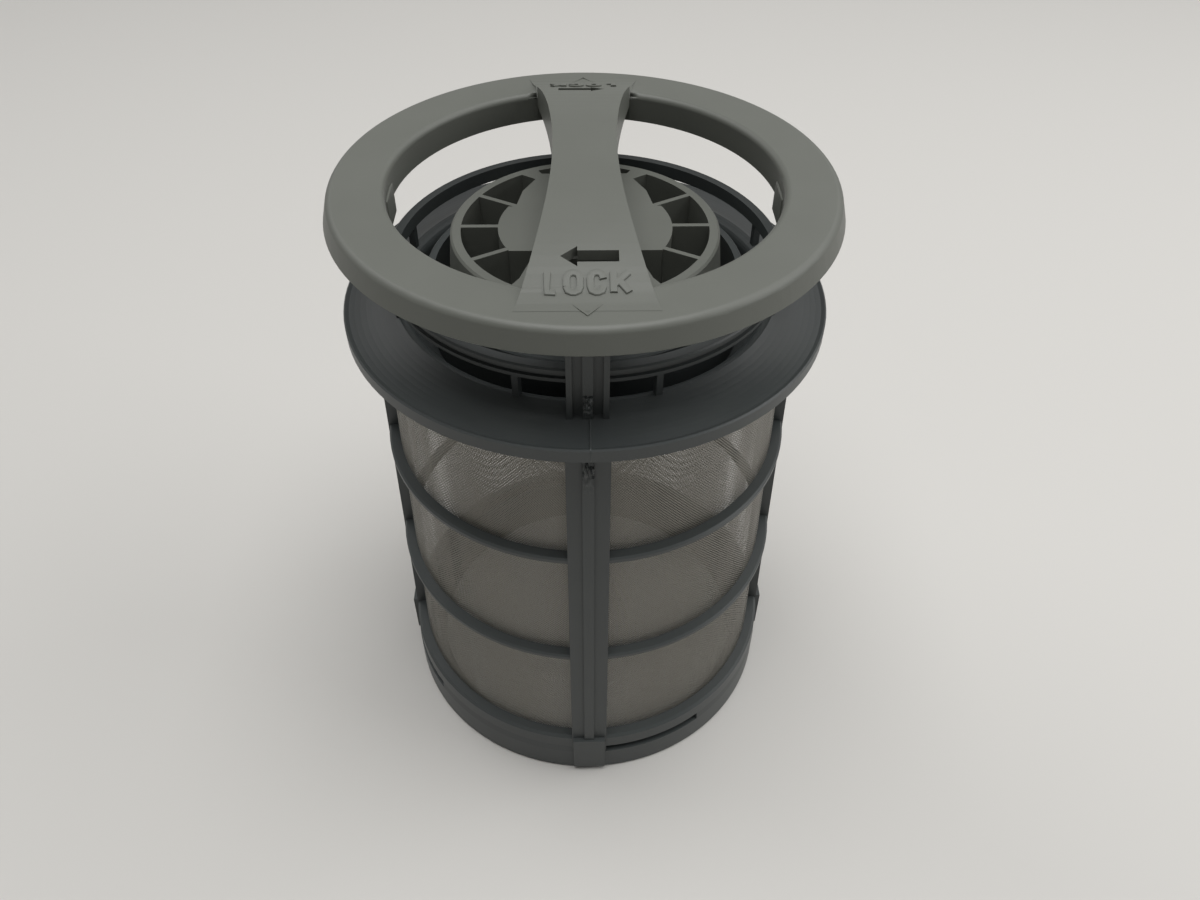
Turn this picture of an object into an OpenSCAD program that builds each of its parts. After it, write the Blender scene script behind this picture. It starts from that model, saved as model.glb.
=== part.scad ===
// Dishwasher filter: a moulded cage with a woven steel screen, a coarse grid in its neck
// and a ring with a bridge handle on top. It stands on its bottom ring, with its axis on Z.

/* [Overall] */
// Height from the table to the flat top of the handle ring
ring_top = 132.5; // [124:0.5:150]
// Outer radius of the screen at the bottom; the cage, neck, grid and ring follow it
screen_r = 42.3; // [36:0.1:52]

/* [Handle ring] */
// Width of the ring from the finger opening to its outside
ring_w = 11.3; // [9:0.1:16]
// How far the finger opening's edge lies inside the collar's outside
opening_in = 1.9; // [0.5:0.1:4]
// Thickness of the ring's flat top
ring_plate = 2.2; // [1.6:0.1:3]
// Height of the skirt round the outside of the ring
skirt_h = 4; // [3:0.2:7]
// Wall of the skirt
skirt_t = 1.8; // [1.2:0.1:2.4]
// Height of the wall round the finger opening
inner_wall_h = 6.6; // [4:0.2:8]
// Wall round the finger opening
inner_wall_t = 1.5; // [1:0.1:1.6]
// Rounding of the ring's outer top edge
ring_round = 1; // [0.4:0.1:1.6]
// Rounding of the finger opening's top edge
opening_round = 1.2; // [0.4:0.1:1.4]

/* [Bridge handle] */
// Rise of the handle above the ring at its middle
crown_h = 6; // [3:0.5:12]
// How far the handle's ends run past the finger opening's edge
overrun = 2.8; // [1.5:0.1:5]
// Half width of the handle at its waist
waist = 5.8; // [5:0.2:9]
// Half width of the handle where it runs out on the ring
foot = 10.6; // [10:0.2:13]
// Thickness of the handle's top skin
skin_t = 2; // [1.4:0.1:2.6]
// Thickness of the handle's side walls
cheek_t = 1.6; // [1.2:0.1:2]
// Depth of the side walls below the top of the ring
cheek_drop = 2.2; // [0:0.2:4]

/* [Cage] */
// Radial depth of the ribs outside the screen
rib_t = 2.4; // [1.8:0.1:3.5]
// How much the screen and ribs draw in from the bottom ring to the flange
taper = 2; // [0:0.1:4]
// Width of each rib
rib_w = 8; // [5:0.5:12]
// Width of the raised spine along each rib
spine_w = 2.2; // [1.4:0.1:3]
// Height of the spine above the rib
spine_h = 0.6; // [0.3:0.1:1]
// Number of hoops between the bottom ring and the flange
hoops = 2; // [1:1:4]
// Height of each hoop
hoop_h = 1.6; // [1.2:0.1:3]
// How far each hoop lies inside the ribs' outer face
hoop_inset = 0.1; // [0:0.1:1]

/* [Bottom ring] */
// Height of the bottom ring
base_h = 13.3; // [11.5:0.1:20]
// Height of the foot below the groove
base_foot_h = 7.1; // [5:0.1:8]
// Height of the locking groove
groove_h = 2.1; // [1.5:0.1:2.6]
// Depth of the locking groove
groove_d = 1.8; // [1:0.1:2.2]
// Angle of each locking groove
groove_angle = 36; // [20:1:60]
// Radial depth of the bottom ring outside the screen
base_t = 2.7; // [2:0.1:4]
// Width of the bottom ring's foot, from its outside to the outlet
foot_w = 6.5; // [5:0.1:12]
// Width of each locking lug
lug_w = 7.4; // [5:0.2:10]
// How far each lug stands out from the ring
lug_out = 0.8; // [0.4:0.1:1.5]

/* [Flange and neck] */
// How far the flange stands out past the bottom ring
flange_out = 2.4; // [1.5:0.1:5]
// Depth of the flange's lip below the top of the ring
flange_drop = 26.1; // [24:0.1:32]
// Height of the lip at the edge of the flange
lip_h = 2.7; // [1.2:0.1:3.2]
// How far the neck lies inside the top of the screen
neck_in = 5.1; // [4:0.1:8]
// Wall of the flange and of the neck
flange_t = 1.8; // [1.4:0.1:2.4]
// Depth of the neck's crest below the top of the ring
crest_drop = 21.3; // [20.5:0.1:23]
// Width of each post between the flange and the handle ring
post_w = 7.2; // [5:0.2:10]
// Radial depth of each post
post_t = 2.7; // [2:0.1:3.5]

/* [Collar] */
// How far the collar hoop's outside lies outside the neck
collar_out = 2.9; // [2.2:0.1:4]
// Radial thickness of the collar
collar_t = 2; // [1.4:0.1:2.6]
// Depth of the collar's top below the top of the ring
collar_drop = 14; // [11:0.1:15]
// Height of the collar
collar_h = 2.7; // [1.8:0.1:3.6]
// Width of each small strut under the collar
strut_w = 1.2; // [0.8:0.1:2]
// Angle of each strut from the nearest post
strut_angle = 19; // [12:1:40]

/* [Coarse grid] */
// Width of the moat between the grid's rim and the outside of the sleeve
moat_w = 5.5; // [4.5:0.1:7]
// Depth of the grid's rim below the top of the ring
grid_drop = 9.7; // [8:0.1:13]
// Wall of the grid round its cells
grid_wall = 2; // [1.4:0.1:3]
// Depth of the grid's cells
grid_deep = 14; // [8:0.5:20]
// Thickness of the spokes
spoke_t = 1; // [0.8:0.1:2]
// Angle between the spokes
spoke_angle = 29; // [24:1:31]
// Radius of the hub's round ends
hub_r = 16.5; // [14:0.1:18]
// Distance from the axis to the hub's straight front edge
hub_front = 8.7; // [7:0.1:10]
// Half width of the channel in front of the hub
channel_w = 9.6; // [8:0.1:11]
// Depth of that channel
channel_deep = 3.6; // [2:0.1:6]
// How far the outside of the sleeve that the grid stands in lies inside the neck
sleeve_in = 4.2; // [2.5:0.1:6]

/* [Hidden] */
$fn = 180;

eps = 0.01;
ribs = 4;
screen_t = 0.4;
screen_seat = 3;
seat_h = 2;

cage_r = screen_r + base_t;
outlet_r = cage_r - foot_w;
flange_r = cage_r + flange_out;
neck_r = screen_r - taper - neck_in;
collar_r = neck_r + collar_out;
opening_r = collar_r - opening_in;
ring_r = opening_r + ring_w;
reach = opening_r + overrun;
blend = reach - 3;
run_out = blend + 2 * cubic(blend) * pow(reach, 3) / (3 * crown_h * pow(blend, 2));
sleeve_r = neck_r - sleeve_in;
grid_r = sleeve_r - moat_w;
plan_scale = grid_r / 25.5;

flange_z = ring_top - flange_drop;
crest_z = ring_top - crest_drop;
collar_z = ring_top - collar_drop - collar_h;
grid_z = ring_top - grid_drop;
plate_z = ring_top - ring_plate;
hoop_pitch = (flange_z - base_h) / (hoops + 1);

sleeve_t = 1.6;
sleeve_top = ring_top - 18;
ledge_z = flange_z - 6;
ledge_r = 27.2;
grid_flare = 1.8;
cell_wall = 1.2;
seat_gap = 0.1;
rib_clear = 0.05;
crest_round = 2.2;
screen_lap = 2.4;

grey = "#787A75";
dark_grey = "#5C605F";
steel = "#8C877C";

// A piece turned round the filter's axis from its outline, in points of radius and height.
module turned(points) {
    rotate_extrude() polygon(points);
}

function arc_points(cx, cy, r, a0, a1, steps = 6) =
    [for (i = [0:steps]) let (a = a0 + (a1 - a0) * i / steps) [cx + r * cos(a), cy + r * sin(a)]];

module round_the_ribs() {
    for (i = [0:ribs - 1]) rotate(i * 360 / ribs) children();
}

// A sector of the plan, from one angle to another, for cutting grooves.
module sector(r, a0, a1) {
    polygon(concat([[0, 0]], [for (i = [0:8]) let (a = a0 + (a1 - a0) * i / 8) [r * cos(a), r * sin(a)]]));
}

// Outer radius of the screen at a height.
function screen_at(z) = screen_r - taper * (z - base_h) / (flange_z - base_h);

// A plate that stands radially at the front, from points given as radius and height.
module radial_plate(width, points) {
    rotate([90, 0, -90]) linear_extrude(width, center = true) polygon(points);
}

module rib() {
    low_r = screen_at(base_h) + rib_t;
    high_r = screen_at(flange_z) + rib_t;
    depth = rib_t - rib_clear;
    rib_top = flange_z + 1;
    radial_plate(rib_w, [[low_r, 1], [low_r, base_h], [high_r, rib_top], [high_r - depth, rib_top],
                         [low_r - depth, base_h - 0.5], [low_r - 1, base_h - 0.5], [low_r - 1, 1]]);
    radial_plate(spine_w, [[low_r + spine_h, base_h - 1], [high_r + spine_h, rib_top],
                           [high_r - 1, rib_top], [low_r - 1, base_h - 1]]);
}

module hoop(z) {
    hoop_r = screen_at(z) + rib_t - hoop_inset;
    edge = hoop_h / 4;
    turned([[screen_at(z), z], [hoop_r - edge, z], [hoop_r, z + edge], [hoop_r, z + hoop_h - edge],
            [hoop_r - edge, z + hoop_h], [screen_at(z + hoop_h), z + hoop_h]]);
}

module bottom_ring() {
    groove_top = base_foot_h + groove_h;
    rim_r = cage_r - 0.2;
    seat_r = screen_at(base_h - screen_seat);
    difference() {
        turned([[outlet_r, 0], [cage_r - 0.6, 0], [cage_r, 0.6], [cage_r, base_foot_h], [rim_r, groove_top],
                [rim_r, base_h - 0.6], [rim_r - 0.6, base_h], [screen_r, base_h],
                [seat_r, base_h - screen_seat],
                [seat_r - screen_t - 1, base_h - screen_seat], [outlet_r, base_foot_h - 2]]);
        round_the_ribs()
            translate([0, 0, base_foot_h]) rotate(-90) linear_extrude(groove_h) difference() {
                sector(cage_r + 5, asin(lug_w / 2 / cage_r), groove_angle);
                circle(cage_r - groove_d);
            }
    }
    round_the_ribs()
        translate([-lug_w / 2, -cage_r - lug_out, 1.8]) cube([lug_w, lug_out + 1.5, base_h - 1.8]);
}

// Height of the flange's top face at a share of the way from the lip to the crest.
function bell(t) = flange_z + lip_h - 0.2 + (crest_z - flange_z - lip_h + 0.2) * t * t;

// The flange is a bell: a thin shell that rises from its lip to the crest of the neck.
module flange() {
    rim_in = flange_r - 1;
    crest_r = neck_r + crest_round;
    lap_r = screen_at(flange_z - screen_lap);
    top_r = screen_at(flange_z);
    lip_in = top_r + rib_t + spine_h + 0.6;
    span = crest_r - rim_in;
    steps = 8;
    turned(concat(
        [[flange_r, flange_z], [flange_r, flange_z + lip_h - 0.3], [flange_r - 0.3, flange_z + lip_h]],
        [for (i = [0:steps - 1]) let (t = i / steps) [rim_in + span * t, bell(t)]],
        arc_points(crest_r, crest_z - crest_round, crest_round, 90, 180),
        [[neck_r, ledge_z], [neck_r + flange_t, ledge_z], [neck_r + flange_t, flange_z - screen_lap - 1],
         [lap_r - screen_t, flange_z - screen_lap], [top_r - screen_t, flange_z], [top_r, flange_z],
         [screen_at(flange_z - 1), flange_z - 1], [top_r + rib_t - 0.4, flange_z - 1],
         [top_r + rib_t - 0.4, flange_z + 0.4], [lip_in, flange_z + 0.4], [lip_in, flange_z]]));
}

// The floor of the neck carries the sleeve that the coarse grid stands in.
module neck_floor() {
    floor_z = ledge_z + seat_h;
    turned([[ledge_r, ledge_z], [neck_r + flange_t / 2, ledge_z], [neck_r + flange_t / 2, floor_z],
            [sleeve_r, floor_z], [sleeve_r, sleeve_top - 0.3], [sleeve_r - 0.3, sleeve_top],
            [sleeve_r - sleeve_t, sleeve_top], [sleeve_r - sleeve_t, floor_z], [ledge_r, floor_z]]);
}

module collar() {
    relief = 0.5;
    third = collar_h / 3;
    turned([[collar_r - collar_t, collar_z], [collar_r, collar_z], [collar_r, collar_z + third * 0.8],
            [collar_r - relief, collar_z + third], [collar_r - relief, collar_z + third * 1.8],
            [collar_r, collar_z + third * 2], [collar_r, collar_z + collar_h - 0.3],
            [collar_r - 0.3, collar_z + collar_h], [collar_r - collar_t, collar_z + collar_h]]);
    for (i = [0:ribs - 1], side = [-1, 1])
        rotate(i * 360 / ribs + side * strut_angle)
            translate([-strut_w / 2, -collar_r + 0.3, crest_z - 1])
                cube([strut_w, 1.4, collar_z - crest_z + 1 + eps]);
}

// Channel-shaped post: two side walls and a spine on a flat web.
module post() {
    wall = 1;
    pocket = (post_w - 2 * wall - spine_w * 0.8) / 2;
    post_r = collar_r - 0.3 + post_t;
    foot_z = flange_z + lip_h;
    difference() {
        translate([-post_w / 2, -post_r, foot_z]) cube([post_w, post_t, plate_z - foot_z]);
        for (side = [-1, 1])
            translate([side * (post_w / 2 - wall - pocket / 2) - pocket / 2, -post_r - 1, foot_z - 1])
                cube([pocket, 1.9, plate_z - foot_z + 2]);
    }
}

module cage() {
    color(dark_grey) {
        bottom_ring();
        for (i = [1:hoops]) hoop(base_h + i * hoop_pitch - hoop_h / 2);
        round_the_ribs() {
            rib();
            post();
        }
        flange();
        neck_floor();
        collar();
    }
}

// Height of the handle's top: a cubic arch that eases out on the ring past the blend.
function cubic(y) = crown_h * (1 - pow(abs(y) / reach, 3));
function ease(y) = pow(max(0, (run_out - abs(y)) / (run_out - blend)), 2);
function arch(y) = ring_top + (abs(y) < blend ? cubic(y) : cubic(blend) * ease(y));

// Side view of the bridge, a given distance inside its outer surface.
module bridge_side(inside, bottom, half) {
    steps = 36;
    polygon(concat([for (i = [0:steps]) let (y = -half + 2 * half * i / steps) [y, arch(y) - inside]],
                   [[half + 0.1, ring_top - 0.1 - inside], [half + 0.1, bottom],
                    [-half - 0.1, bottom], [-half - 0.1, ring_top - 0.1 - inside]]));
}

// Plan of the bridge: straight ends and two long hollow curves, a given distance inside.
module bridge_plan(inside, half) {
    sag = foot - waist;
    side_r = (reach * reach + sag * sag) / (2 * sag);
    difference() {
        translate([-foot - 1.4, -half - 1]) square([2 * foot + 2.8, 2 * half + 2]);
        for (side = [-1, 1]) translate([side * (waist + side_r - inside), 0]) circle(side_r, $fn = 360);
    }
}

module bridge(inside, bottom, half) {
    intersection() {
        rotate([90, 0, 90]) linear_extrude(4 * foot, center = true) bridge_side(inside, bottom, half);
        translate([0, 0, bottom - 1]) linear_extrude(crown_h + 20)
            bridge_plan(inside == 0 ? 0 : cheek_t, half);
    }
}

module ring_profile() {
    skirt_z = ring_top - skirt_h;
    wall_z = ring_top - inner_wall_h;
    polygon(concat(
        [[ring_r - skirt_t, plate_z], [ring_r - skirt_t, skirt_z], [ring_r - 0.4, skirt_z],
         [ring_r, skirt_z + 0.4]],
        arc_points(ring_r - ring_round, ring_top - ring_round, ring_round, 0, 90),
        arc_points(opening_r + opening_round, ring_top - opening_round, opening_round, 90, 180),
        [[opening_r, wall_z], [opening_r + inner_wall_t, wall_z], [opening_r + inner_wall_t, plate_z]]));
}

module handle_ring() {
    color(grey) {
        rotate_extrude() ring_profile();
        difference() {
            bridge(0, ring_top - cheek_drop, run_out);
            bridge(skin_t, ring_top - cheek_drop - 1, opening_r - 0.5);
        }
    }
}

// Plan of the closed middle of the grid: the hub, and the land it widens to at the front and rear.
// Inset makes the same plan that much smaller, for the hollow below it.
module hub_plan(inset = 0) {
    hub_rear = 7.2;
    neck_w = channel_w - inset;
    intersection() {
        circle(hub_r - inset);
        translate([-hub_r, inset - hub_front]) square([2 * hub_r, hub_front + hub_rear - inset]);
    }
    for (side = [-1, 1]) scale([side, 1])
        polygon([[0, inset - hub_front + 2], [neck_w, inset - hub_front + 2],
                 [neck_w + 0.4, -11.8 * plan_scale], [neck_w + 2.2, -17.6 * plan_scale],
                 [neck_w + 3.6, -19.8 * plan_scale], [neck_w + 6.4, -grid_r], [0, -grid_r]]);
    for (side = [-1, 1]) scale([side * plan_scale, plan_scale])
        polygon([[0, hub_rear - 2], [13.6 - inset, hub_rear - 1], [12.3 - inset, 13.2],
                 [9.9 - inset, 18 + inset],
                 [12.6 - inset, 19.7 + inset], [15.6, 24.4], [0, 25.5]]);
}

module spokes() {
    for (half = [0, 180], a = [-spoke_angle, 0, spoke_angle])
        rotate(half + a) translate([hub_r / 2, -spoke_t / 2]) square([grid_r - hub_r / 2 - 1, spoke_t]);
}

// The fans are the open cells: all of the plan that is not hub or spoke.
module fans() {
    difference() {
        circle(grid_r - grid_wall);
        hub_plan();
        spokes();
    }
}

// Shallow channels in the grid's top, in front of the hub and behind it.
module channels() {
    side_w = channel_w - 0.9;
    translate([0, 0, grid_z - channel_deep]) linear_extrude(channel_deep + 1) intersection() {
        circle(grid_r - grid_wall);
        union() {
            polygon([[-side_w, -11.4], [side_w, -11.4], [side_w + 1.9, -17.9], [side_w + 4, -grid_r],
                     [-side_w - 4, -grid_r], [-side_w - 1.9, -17.9]]);
            polygon([[-side_w, 20.2], [side_w, 20.2], [side_w + 3, grid_r], [-side_w - 3, grid_r]]);
        }
    }
}

module coarse_grid() {
    base_z = ledge_z + seat_h;
    deep_z = grid_z - grid_deep;
    outer = grid_r + grid_flare;
    seat_r = sleeve_r - sleeve_t - seat_gap;
    inner = grid_r - grid_wall;
    web = 2;
    color(grey) difference() {
        turned([[0, base_z], [seat_r, base_z], [seat_r, base_z + 1.6], [outer, base_z + 1.6],
                [grid_r, grid_z - 0.4], [grid_r - 0.4, grid_z], [0, grid_z]]);
        turned([[0, base_z - 1], [outer - grid_wall, base_z - 1], [outer - grid_wall, base_z],
                [inner + 0.6, deep_z], [0, deep_z]]);
        translate([0, 0, deep_z - 1]) linear_extrude(grid_deep + 2) fans();
        translate([0, 0, deep_z - 1]) linear_extrude(grid_deep + 1 - channel_deep - web)
            intersection() {
                circle(inner);
                hub_plan(cell_wall);
            }
        channels();
    }
}

module filter_screen() {
    low = base_h - screen_seat;
    color(steel) turned([[screen_at(low) - screen_t, low], [screen_at(low), low],
                         [screen_at(flange_z), flange_z], [screen_at(flange_z) - screen_t, flange_z]]);
}

cage();
handle_ring();
coarse_grid();
filter_screen();
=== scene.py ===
import math

import bpy
from mathutils import Matrix, Vector, noise


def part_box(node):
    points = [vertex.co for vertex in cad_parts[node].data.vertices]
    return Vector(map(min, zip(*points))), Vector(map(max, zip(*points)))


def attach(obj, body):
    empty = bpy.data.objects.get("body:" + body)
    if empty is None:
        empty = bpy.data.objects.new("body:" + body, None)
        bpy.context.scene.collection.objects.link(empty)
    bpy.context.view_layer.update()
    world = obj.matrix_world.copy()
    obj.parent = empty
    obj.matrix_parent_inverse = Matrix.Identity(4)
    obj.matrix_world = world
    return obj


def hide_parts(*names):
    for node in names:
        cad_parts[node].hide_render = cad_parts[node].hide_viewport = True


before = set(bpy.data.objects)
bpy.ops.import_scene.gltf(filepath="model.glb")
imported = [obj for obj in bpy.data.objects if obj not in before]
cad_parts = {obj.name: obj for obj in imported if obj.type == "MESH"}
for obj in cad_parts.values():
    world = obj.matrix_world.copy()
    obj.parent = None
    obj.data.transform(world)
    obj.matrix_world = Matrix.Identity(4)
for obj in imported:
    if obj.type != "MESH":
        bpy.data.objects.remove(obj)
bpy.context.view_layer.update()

MM = 0.001

# Sizes of the ring and the cage that the drawn pieces follow, in millimetres. The ring's plate lies
# on the cage's posts, and the photograph has its flat top a little higher than the solids do.
RING_PLATE = 2.2
RING_LIFT = 0.6
CAD_RING_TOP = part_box("cage")[1][2] / MM + RING_PLATE
RING_TOP = CAD_RING_TOP + RING_LIFT
CROWN_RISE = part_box("handle_ring")[1][2] / MM - RING_TOP
HANDLE_REACH = 39.0
HANDLE_BLEND = 36.0
SCREEN_R = 42.3


def arch(y):
    """Height of the bridge handle's top, at a distance y from the axis."""
    def cubic(distance):
        return CROWN_RISE * (1 - (distance / HANDLE_REACH) ** 3)

    if abs(y) < HANDLE_BLEND:
        return RING_TOP + cubic(abs(y))
    slope = 3 * CROWN_RISE * HANDLE_BLEND ** 2 / HANDLE_REACH ** 3
    run_out = HANDLE_BLEND + 2 * cubic(HANDLE_BLEND) / slope
    ease = max(0.0, (run_out - abs(y)) / (run_out - HANDLE_BLEND)) ** 2
    return RING_TOP + cubic(HANDLE_BLEND) * ease


# Colour and node helpers

def colour(hexed):
    """An sRGB hex value as linear red, green, blue and alpha."""
    parts = [int(hexed[i:i + 2], 16) / 255 for i in (1, 3, 5)]
    linear = [c / 12.92 if c <= 0.04045 else ((c + 0.055) / 1.055) ** 2.4 for c in parts]
    return (*linear, 1.0)


def add_node(material, kind, settings=None, **inputs):
    """Adds a shader node; an input is a value, or the output socket that feeds it."""
    tree = material.node_tree
    made = tree.nodes.new(kind)
    for key, value in (settings or {}).items():
        setattr(made, key, value)
    for key, value in inputs.items():
        socket = made.inputs[int(key[1:])] if key[0] == "_" else made.inputs[key.replace("_", " ")]
        if isinstance(value, bpy.types.NodeSocket):
            tree.links.new(value, socket)
        else:
            socket.default_value = value
    return made


def new_material(name):
    """An empty material that takes nodes."""
    material = bpy.data.materials.new(name)
    material.use_nodes = True
    material.node_tree.nodes.clear()
    return material


def finish_material(material, shader):
    """Joins the shader to the material's surface."""
    add_node(material, "ShaderNodeOutputMaterial", Surface=shader)
    return material


# Materials. Sizes and depths of their patterns are in millimetres.

CLOUD_SIZE = 14.0
GRAIN_SIZE = 0.4
GRAIN_DEPTH = 0.06
WEAVE_PITCH = 0.6
WEAVE_DEPTH = 0.12

# Every second row of holes lies straight above the other, by this many pitches
WEAVE_SLANT = 1.15

# Shares of a wave's height at which a wire begins and is whole, and shares of the painted light that
# brightens the wire crests
WIRE_FROM = 0.85
WIRE_FULL = 0.92
ONE_WAY_PAINTED_LIGHT = 0.45
RIDGE_PAINTED_LIGHT = 0.55


def moulded_polypropylene(name, base, worn, roughness):
    """Polypropylene from a lightly blasted mould: a dull skin with a soft, broad sheen.

    Long use in hot water leaves faint paler clouds, and the mould leaves a grain of 0.4 mm.
    """
    material = new_material(name)
    place = add_node(material, "ShaderNodeTexCoord").outputs["Object"]
    clouds = add_node(material, "ShaderNodeTexNoise", Vector=place, Scale=1 / (CLOUD_SIZE * MM),
                      Detail=3.0, Roughness=0.5)
    tone = add_node(material, "ShaderNodeMix", {"data_type": "RGBA"}, _0=clouds.outputs["Fac"],
                    _6=colour(base), _7=colour(worn))
    grain = add_node(material, "ShaderNodeTexNoise", Vector=place, Scale=1 / (GRAIN_SIZE * MM), Detail=2.0)
    bump = add_node(material, "ShaderNodeBump", Strength=0.12, Distance=GRAIN_DEPTH * MM,
                    Height=grain.outputs["Fac"])
    shader = add_node(material, "ShaderNodeBsdfPrincipled", Base_Color=tone.outputs[2],
                      Roughness=roughness, IOR=1.49, Normal=bump.outputs["Normal"])
    return finish_material(material, shader.outputs["BSDF"])


def woven_stainless(name):
    """Stainless wire cloth laid on the bias: wires cross at a slant, with staggered holes between.

    The holes of one row lie 0.6 mm apart, as the photograph shows them under the flange. Two sets of
    slanting waves make the wires: their crests are solid and the troughs between are open. Their colour
    holds painted shading: lighter on the crests and on one set of wires, darker towards the troughs.
    """
    material = new_material(name)
    holes_around = round(2 * math.pi * SCREEN_R / WEAVE_PITCH)
    place = add_node(material, "ShaderNodeTexCoord").outputs["Object"]
    split = add_node(material, "ShaderNodeSeparateXYZ", Vector=place)
    around = add_node(material, "ShaderNodeMath", {"operation": "ARCTAN2"},
                      _0=split.outputs["Y"], _1=split.outputs["X"]).outputs[0]
    across = add_node(material, "ShaderNodeMath", {"operation": "MULTIPLY"},
                      _0=around, _1=holes_around / 2).outputs[0]
    along = add_node(material, "ShaderNodeMath", {"operation": "MULTIPLY"},
                     _0=split.outputs["Z"], _1=math.pi / (WEAVE_PITCH * WEAVE_SLANT * MM)).outputs[0]
    waves = []
    for way in ("ADD", "SUBTRACT"):
        slant = add_node(material, "ShaderNodeMath", {"operation": way}, _0=across, _1=along).outputs[0]
        sine = add_node(material, "ShaderNodeMath", {"operation": "SINE"}, _0=slant).outputs[0]
        waves.append(add_node(material, "ShaderNodeMath", {"operation": "ABSOLUTE"}, _0=sine).outputs[0])
    ridge = add_node(material, "ShaderNodeMath", {"operation": "MAXIMUM"},
                     _0=waves[0], _1=waves[1]).outputs[0]
    wires = add_node(material, "ShaderNodeMapRange", Value=ridge, _1=WIRE_FROM, _2=WIRE_FULL).outputs[0]
    one_way_painted_light = add_node(material, "ShaderNodeMath", {"operation": "MULTIPLY"},
                   _0=waves[0], _1=ONE_WAY_PAINTED_LIGHT).outputs[0]
    painted_wire_shading = add_node(material, "ShaderNodeMath", {"operation": "MULTIPLY_ADD"},
                     _0=ridge, _1=RIDGE_PAINTED_LIGHT, _2=one_way_painted_light).outputs[0]
    # Painted shading on the wires: lighter on their crests and on one set of wires, dark towards the
    # troughs
    tone = add_node(material, "ShaderNodeMix", {"data_type": "RGBA"}, _0=painted_wire_shading,
                    _6=colour("#2E2D2A"), _7=colour("#918E86"))
    bump = add_node(material, "ShaderNodeBump", Strength=0.4, Distance=WEAVE_DEPTH * MM, Height=painted_wire_shading)
    shader = add_node(material, "ShaderNodeBsdfPrincipled", Base_Color=tone.outputs[2], Metallic=0.6,
                      Roughness=0.5, Alpha=wires, Normal=bump.outputs["Normal"])
    return finish_material(material, shader.outputs["BSDF"])


def paper_sweep(name):
    """A matt sheet of pale paper under the filter."""
    material = new_material(name)
    shader = add_node(material, "ShaderNodeBsdfPrincipled", Base_Color=colour("#D0CECA"), Roughness=0.9)
    return finish_material(material, shader.outputs["BSDF"])


GREY = moulded_polypropylene("moulded_grey_polypropylene", "#5B5D57", "#63655F", 0.46)
DARK = moulded_polypropylene("moulded_dark_polypropylene", "#383C3D", "#404443", 0.42)
STEEL = woven_stainless("woven_stainless_cloth")
PAPER = paper_sweep("matt_paper_sweep")


def dress(node, material):
    """Gives a solid, shown as it is, its material."""
    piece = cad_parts[node]
    piece.data.materials.clear()
    piece.data.materials.append(material)


dress("cage", DARK)
dress("coarse_grid", GREY)
dress("filter_screen", STEEL)


# Making pieces

def take(piece):
    """Selects the piece alone and makes it the active one."""
    bpy.ops.object.select_all(action="DESELECT")
    piece.select_set(True)
    bpy.context.view_layer.objects.active = piece


def follow_the_arch(piece):
    """Moves each point up by the height of the handle's top below it."""
    for point in piece.data.vertices:
        point.co.z += arch(point.co.y / MM) * MM


def prism(name, outline, low, high):
    """A straight block over an outline, from low to high, in millimetres."""
    mesh = bpy.data.meshes.new(name)
    mesh.from_pydata([(x * MM, y * MM, low * MM) for x, y in outline], [], [list(range(len(outline)))])
    piece = bpy.data.objects.new(name, mesh)
    bpy.context.scene.collection.objects.link(piece)
    take(piece)
    bpy.ops.object.mode_set(mode="EDIT")
    bpy.ops.mesh.select_all(action="SELECT")
    bpy.ops.mesh.extrude_region_move(TRANSFORM_OT_translate={"value": (0, 0, (high - low) * MM)})
    bpy.ops.mesh.select_all(action="SELECT")
    bpy.ops.mesh.normals_make_consistent(inside=False)
    bpy.ops.object.mode_set(mode="OBJECT")
    return piece


def shade_round(piece, degrees):
    """Shades as round where two faces meet at less than the angle, and as an edge elsewhere."""
    take(piece)
    bpy.ops.object.shade_smooth_by_angle(angle=math.radians(degrees))


def smooth(piece):
    """Smooth over round stretches only, with each flat's own normal kept by weight."""
    shade_round(piece, 20)
    weigh = piece.modifiers.new("weigh", "WEIGHTED_NORMAL")
    weigh.keep_sharp = True
    bpy.ops.object.modifier_apply(modifier=weigh.name)


def own_copy(source, name):
    """A copy of an object with a mesh of its own."""
    copy = source.copy()
    copy.data = source.data.copy()
    copy.name = name
    bpy.context.scene.collection.objects.link(copy)
    return copy


def turned_copy(piece, name, degrees=180):
    """A copy of a piece turned round the filter's axis, half way unless an angle is given."""
    copy = own_copy(piece, name)
    copy.data.transform(Matrix.Rotation(math.radians(degrees), 4, "Z"))
    return copy


def cut_away(piece, other):
    """Cuts the other piece out of this one and removes it."""
    take(piece)
    cut = piece.modifiers.new("cut", "BOOLEAN")
    cut.operation = "DIFFERENCE"
    cut.solver = "EXACT"
    cut.object = other
    bpy.ops.object.modifier_apply(modifier=cut.name)
    bpy.data.objects.remove(other)


def rod(points, name, radius):
    """A round rod along points in millimetres."""
    curve = bpy.data.curves.new(name, "CURVE")
    curve.dimensions = "3D"
    curve.bevel_depth = radius * MM
    curve.bevel_resolution = 5
    curve.use_fill_caps = True
    spline = curve.splines.new("POLY")
    spline.points.add(len(points) - 1)
    for spot, (x, y, z) in zip(spline.points, points):
        spot.co = (x * MM, y * MM, z * MM, 1)
    piece = bpy.data.objects.new(name, curve)
    bpy.context.scene.collection.objects.link(piece)
    take(piece)
    bpy.ops.object.convert(target="MESH")
    return bpy.context.object


def finish_piece(piece, material):
    """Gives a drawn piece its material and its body."""
    piece.data.materials.clear()
    piece.data.materials.append(material)
    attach(piece, "root")


# The handle ring, with the turning arrow cut through the handle near both of its ends

ARROW_TIP = -4.2
ARROW_HEAD = -1.5
ARROW_END = 5.1
ARROW_Y = -30.9
ARROW_HALF = 2.05
SHAFT_HALF = 1.15
ARROW_DEPTH = 3.0

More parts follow.
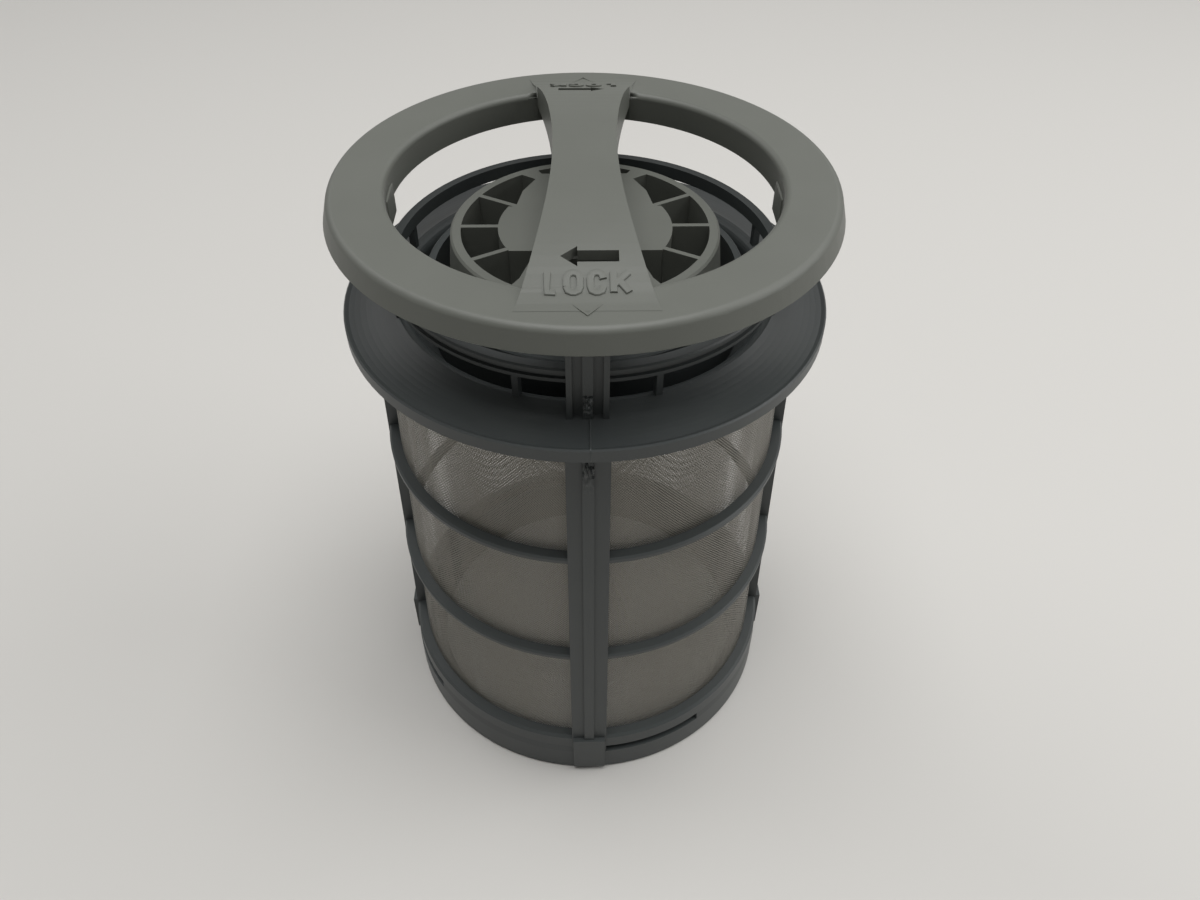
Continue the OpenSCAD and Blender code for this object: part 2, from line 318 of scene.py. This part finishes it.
arrow_outline = [(ARROW_TIP, ARROW_Y), (ARROW_HEAD, ARROW_Y - ARROW_HALF),
                 (ARROW_HEAD, ARROW_Y - SHAFT_HALF), (ARROW_END, ARROW_Y - SHAFT_HALF),
                 (ARROW_END, ARROW_Y + SHAFT_HALF), (ARROW_HEAD, ARROW_Y + SHAFT_HALF),
                 (ARROW_HEAD, ARROW_Y + ARROW_HALF)]


def merged_copy(node, name):
    """A copy of a solid's mesh with the points of neighbouring faces merged."""
    piece = own_copy(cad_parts[node], name)
    take(piece)
    bpy.ops.object.mode_set(mode="EDIT")
    bpy.ops.mesh.select_all(action="SELECT")
    bpy.ops.mesh.remove_doubles(threshold=0.001 * MM)
    bpy.ops.object.mode_set(mode="OBJECT")
    return piece


# The skirt leans from just above its foot, and only what lies outside this radius belongs to it
SKIRT_LOW = CAD_RING_TOP - 3.6
SKIRT_IN_R = 44.0
SKIRT_DRAFT = 1.2

# Points less deep than this, so down to the foot of the rounded top edge, are lifted with the top
EDGE_ROUND = 1.3


def draft_the_skirt(piece):
    """Leans the ring's skirt inwards to its top, as a mould needs, and lifts the top to suit."""
    for point in piece.data.vertices:
        x, y, z = point.co / MM
        reach = math.hypot(x, y)
        share = min(1.0, max(0.0, (z - SKIRT_LOW) / (CAD_RING_TOP - SKIRT_LOW)))
        if reach > SKIRT_IN_R:
            narrow = 1 - SKIRT_DRAFT * share / reach
            x, y = x * narrow, y * narrow
        if z > CAD_RING_TOP - EDGE_ROUND:
            z += RING_LIFT * (1 - max(0.0, z - CAD_RING_TOP) / (CROWN_RISE + RING_LIFT))
        point.co = Vector((x, y, z)) * MM


# The wall round the finger opening: its lower edge in the solids, and the radii that it lies between
WALL_LOW = CAD_RING_TOP - 6.6
WALL_IN_R = 36.1
WALL_OUT_R = 37.8
WALL_LIFT = 1.4
SAME_HEIGHT = 0.05


def shorten_the_wall(piece):
    """Lifts the lower edge of the wall round the finger opening to where the photograph has it."""
    for point in piece.data.vertices:
        x, y, z = point.co / MM
        if WALL_IN_R < math.hypot(x, y) < WALL_OUT_R and abs(z - WALL_LOW) < SAME_HEIGHT:
            point.co.z += WALL_LIFT * MM


ring = merged_copy("handle_ring", "marked_handle_ring")
draft_the_skirt(ring)
shorten_the_wall(ring)
front_arrow = prism("arrow_front", arrow_outline, -ARROW_DEPTH, ARROW_DEPTH)
follow_the_arch(front_arrow)
rear_arrow = turned_copy(front_arrow, "arrow_rear")
cut_away(ring, front_arrow)
cut_away(ring, rear_arrow)
smooth(ring)
finish_piece(ring, GREY)
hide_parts("handle_ring")


# Blocks under the ring that take the posts' tops, seen inside the finger opening

BLOCK_IN = 35.8
BLOCK_OUT = 37.7
BLOCK_HALF = 3.6
BLOCK_LOW = 124.0
BLOCK_HIGH = 130.0
BLOCK_ROUND = 0.3

block_outline = [(-BLOCK_HALF, -BLOCK_OUT), (BLOCK_HALF, -BLOCK_OUT),
                 (BLOCK_HALF, -BLOCK_IN), (-BLOCK_HALF, -BLOCK_IN)]
block = prism("post_block_front", block_outline, BLOCK_LOW, BLOCK_HIGH)
soften = block.modifiers.new("soften", "BEVEL")
soften.width = BLOCK_ROUND * MM
soften.segments = 2
bpy.ops.object.modifier_apply(modifier=soften.name)
smooth(block)
finish_piece(block, GREY)
for quarter, degrees in (("right", 90), ("rear", 180), ("left", 270)):
    finish_piece(turned_copy(block, "post_block_" + quarter, degrees), GREY)


# The raised word, in strokes of its own design. Each letter is one or more strokes, drawn on a cell
# one wide and one high.

LETTERS = {
    "L": [[(0, 1), (0, 0), (0.9, 0)]],
    "O": [[(0.0, 0.3), (0.0, 0.7), (0.12, 0.92), (0.4, 1), (0.6, 1), (0.88, 0.92), (1.0, 0.7),
           (1.0, 0.3), (0.88, 0.08), (0.6, 0), (0.4, 0), (0.12, 0.08), (0.0, 0.3)]],
    "C": [[(1.0, 0.68), (0.88, 0.92), (0.6, 1), (0.4, 1), (0.12, 0.92), (0.0, 0.7), (0.0, 0.3),
           (0.12, 0.08), (0.4, 0), (0.6, 0), (0.88, 0.08), (1.0, 0.32)]],
    "K": [[(0, 1), (0, 0)], [(0.95, 1), (0.1, 0.42)], [(0.36, 0.6), (1.0, 0)]],
}
LETTER_WIDTHS = {"L": 2.6, "O": 3.3, "C": 3.2, "K": 3.6}
LETTER_GAP = 0.4
STROKE = 0.6
WORD_LEFT = -6.8
WORD_LOW = -38.6
WORD_HIGH = -33.7
WORD_PROUD = 0.32

strokes = []
left = WORD_LEFT + STROKE
low = WORD_LOW + STROKE
tall = WORD_HIGH - WORD_LOW - 2 * STROKE
for letter in "LOCK":
    wide = LETTER_WIDTHS[letter] - 2 * STROKE
    for run in LETTERS[letter]:
        strokes.append(rod([(left + x * wide, low + y * tall, 0.0) for x, y in run], letter, STROKE))
    left += LETTER_WIDTHS[letter] + LETTER_GAP
bpy.ops.object.select_all(action="DESELECT")
for piece in strokes:
    piece.select_set(True)
bpy.context.view_layer.objects.active = strokes[0]
bpy.ops.object.join()
word = bpy.context.object
word.name = "raised_word_front"

# The round strokes are cut flat at half their radius, and squeezed until they stand as proud as wanted
for point in word.data.vertices:
    point.co.z = min(point.co.z, STROKE * MM / 2) * 2 * WORD_PROUD / STROKE
follow_the_arch(word)
shade_round(word, 60)
finish_piece(word, GREY)
finish_piece(turned_copy(word, "raised_word_rear"), GREY)


# The raised chevron on the ring, at both ends of the handle

CHEVRON_HALF = 2.4
CHEVRON_BACK = -40.3
CHEVRON_TIP = -43.2
CHEVRON_ARM = 0.588
CHEVRON_NOSE = 0.63
CHEVRON_SUNK = 0.3
CHEVRON_PROUD = 0.16

chevron_outline = [(-CHEVRON_HALF, CHEVRON_BACK), (0, CHEVRON_TIP), (CHEVRON_HALF, CHEVRON_BACK),
                   (CHEVRON_HALF - CHEVRON_ARM, CHEVRON_BACK), (0, CHEVRON_TIP + CHEVRON_NOSE),
                   (-CHEVRON_HALF + CHEVRON_ARM, CHEVRON_BACK)]
chevron = prism("raised_chevron_front", chevron_outline, RING_TOP - CHEVRON_SUNK, RING_TOP + CHEVRON_PROUD)
finish_piece(chevron, GREY)
finish_piece(turned_copy(chevron, "raised_chevron_rear"), GREY)


# Torn flash on the front spine and post

FLANGE_Z = 106.4
BASE_TOP = 13.3
SCREEN_TAPER = 2.0
SPINE_OUT = 3.0
POST_R = 40.5
FLASH_THICK = 0.4
FLASH_SUNK = 0.15
FLASH_CUTS = 18
LUMPS_ACROSS = 2.3
LUMPS_UP = 1.3
LUMP_LAYER = 3.0
LUMP_BASE = 0.15
FADE_RATE = 1.6


def spine_face(z):
    """Radius of the face of a rib's spine at a height. It tapers with the screen."""
    return SCREEN_R - SCREEN_TAPER * (z - BASE_TOP) / (FLANGE_Z - BASE_TOP) + SPINE_OUT


def post_face(z):
    """Radius of the outer face of a post, the same at every height."""
    return POST_R


def rough_patch(name, width, z_low, z_high, face, proud):
    """Torn flash left by the mould: a thin skin on a face, lumpy outside and thinner to its foot."""
    bpy.ops.object.select_all(action="DESELECT")
    bpy.ops.mesh.primitive_cube_add(size=1.0)
    piece = bpy.context.object
    piece.name = name
    piece.data.transform(Matrix.Diagonal((width * MM, FLASH_THICK * MM, (z_high - z_low) * MM, 1.0)))
    piece.data.transform(Matrix.Translation((0, 0, (z_low + z_high) / 2 * MM)))
    bpy.ops.object.mode_set(mode="EDIT")
    bpy.ops.mesh.select_all(action="SELECT")
    bpy.ops.mesh.subdivide(number_cuts=FLASH_CUTS)
    bpy.ops.object.mode_set(mode="OBJECT")
    for point in piece.data.vertices:
        x, y, z = point.co / MM
        outside = y < 0.01 - FLASH_THICK / 2
        y -= face(z) - FLASH_SUNK
        if outside:
            lump = noise.noise(Vector((x * LUMPS_ACROSS, LUMP_LAYER, z * LUMPS_UP)))
            fade = min(1.0, (z - z_low) / (z_high - z_low) * FADE_RATE)
            y -= (lump + LUMP_BASE) * proud * fade
        point.co = Vector((x, y, z)) * MM
    shade_round(piece, 50)
    finish_piece(piece, DARK)


rough_patch("rib_flash", 2.1, FLANGE_Z - 11.5, FLANGE_Z - 0.6, spine_face, 1.1)
rough_patch("post_flash", 1.6, FLANGE_Z + 3.6, FLANGE_Z + 8.5, post_face, 1.0)


# The mould's parting line runs out from the post over the bell of the flange and down its lip. The
# points on the lip are given by radius and by height above the flange's underside.

BELL_LOW = FLANGE_Z + 2.5
BELL_RISE = 2.3
BELL_OUT = 46.4
BELL_IN = 37.4
BELL_STEPS = 8
LIP_POINTS = [(46.95, 2.66), (47.3, 2.3), (47.3, 0.2)]
PARTING_X = 0.35
PARTING_R = 0.17

parting = []
for step in range(BELL_STEPS + 1):
    reach = POST_R + (BELL_OUT - POST_R) * step / BELL_STEPS
    rise = BELL_RISE * ((BELL_OUT - reach) / (BELL_OUT - BELL_IN)) ** 2
    parting.append((PARTING_X, -reach, BELL_LOW + rise))
parting += [(PARTING_X, -reach, FLANGE_Z + above) for reach, above in LIP_POINTS]
line = rod(parting, "parting_line_front", PARTING_R)
shade_round(line, 60)
finish_piece(line, DARK)
finish_piece(turned_copy(line, "parting_line_rear"), DARK)


# Camera, where the photograph was taken from. Places in millimetres, the lens for a 36 mm sensor.

CAMERA_AT = (-1.1, -162.0, 219.4)
CAMERA_PITCH = math.radians(43.84)
CAMERA_YAW = math.radians(1.5)
CAMERA_ROLL = math.radians(0.47)
CAMERA_LENS = 29.1
SENSOR_WIDTH = 36.0
NEAREST = 10.0

ahead = Vector((math.sin(CAMERA_YAW) * math.cos(CAMERA_PITCH),
                math.cos(CAMERA_YAW) * math.cos(CAMERA_PITCH), -math.sin(CAMERA_PITCH)))
level = ahead.cross(Vector((0, 0, 1))).normalized()
upward = level.cross(ahead)
right = level * math.cos(CAMERA_ROLL) + upward * math.sin(CAMERA_ROLL)
top = upward * math.cos(CAMERA_ROLL) - level * math.sin(CAMERA_ROLL)

camera_data = bpy.data.cameras.new("camera")
camera_data.lens = CAMERA_LENS
camera_data.sensor_width = SENSOR_WIDTH
camera_data.clip_start = NEAREST * MM
camera = bpy.data.objects.new("camera", camera_data)
bpy.context.scene.collection.objects.link(camera)
turn = Matrix((right, top, -ahead)).transposed().to_4x4()
camera.matrix_world = Matrix.Translation(Vector(CAMERA_AT) * MM) @ turn
bpy.context.scene.camera = camera


# Floor and light, in metres

FLOOR_SIZE = 6.0
SOFTBOX_SIZE = 0.8
LIT_POINT = (0.0, 0.0, 0.08)

bpy.ops.object.select_all(action="DESELECT")
bpy.ops.mesh.primitive_plane_add(size=FLOOR_SIZE, location=(0, 0, 0))
floor = bpy.context.object
floor.name = "paper_floor"
floor.data.materials.append(PAPER)


def softbox(name, at, watts):
    """A soft white square light that looks at the filter."""
    data = bpy.data.lights.new(name, "AREA")
    data.shape = "SQUARE"
    data.size = SOFTBOX_SIZE
    data.energy = watts
    lamp = bpy.data.objects.new(name, data)
    bpy.context.scene.collection.objects.link(lamp)
    lamp.location = at
    lamp.rotation_euler = (Vector(LIT_POINT) - Vector(at)).to_track_quat("-Z", "Y").to_euler()


softbox("ceiling", (0.0, -0.08, 1.1), 8.5)
softbox("rear_left", (-0.7, 0.5, 0.9), 2.6)
softbox("rear_right", (0.6, 0.6, 0.9), 1.8)
softbox("right", (0.9, 0.0, 0.7), 4.4)


# The room gives a little light, and its pale walls show behind the floor and in shiny surfaces

ROOM_LIGHT = 0.12
ROOM_SEEN = 0.42

world = bpy.data.worlds.new("room")
bpy.context.scene.world = world
world.use_nodes = True
world.node_tree.nodes.clear()
paths = add_node(world, "ShaderNodeLightPath").outputs
shiny = add_node(world, "ShaderNodeMath", {"operation": "MAXIMUM"}, _0=paths["Is Glossy Ray"],
                 _1=paths["Is Transmission Ray"]).outputs[0]
seen = add_node(world, "ShaderNodeMath", {"operation": "MAXIMUM"},
                _0=paths["Is Camera Ray"], _1=shiny).outputs[0]
strength = add_node(world, "ShaderNodeMapRange", Value=seen, _3=ROOM_LIGHT, _4=ROOM_SEEN).outputs[0]
walls = add_node(world, "ShaderNodeBackground", Color=colour("#F4F4F2"), Strength=strength)
add_node(world, "ShaderNodeOutputWorld", Surface=walls.outputs["Background"])

bpy.context.scene.view_settings.view_transform = "Standard"
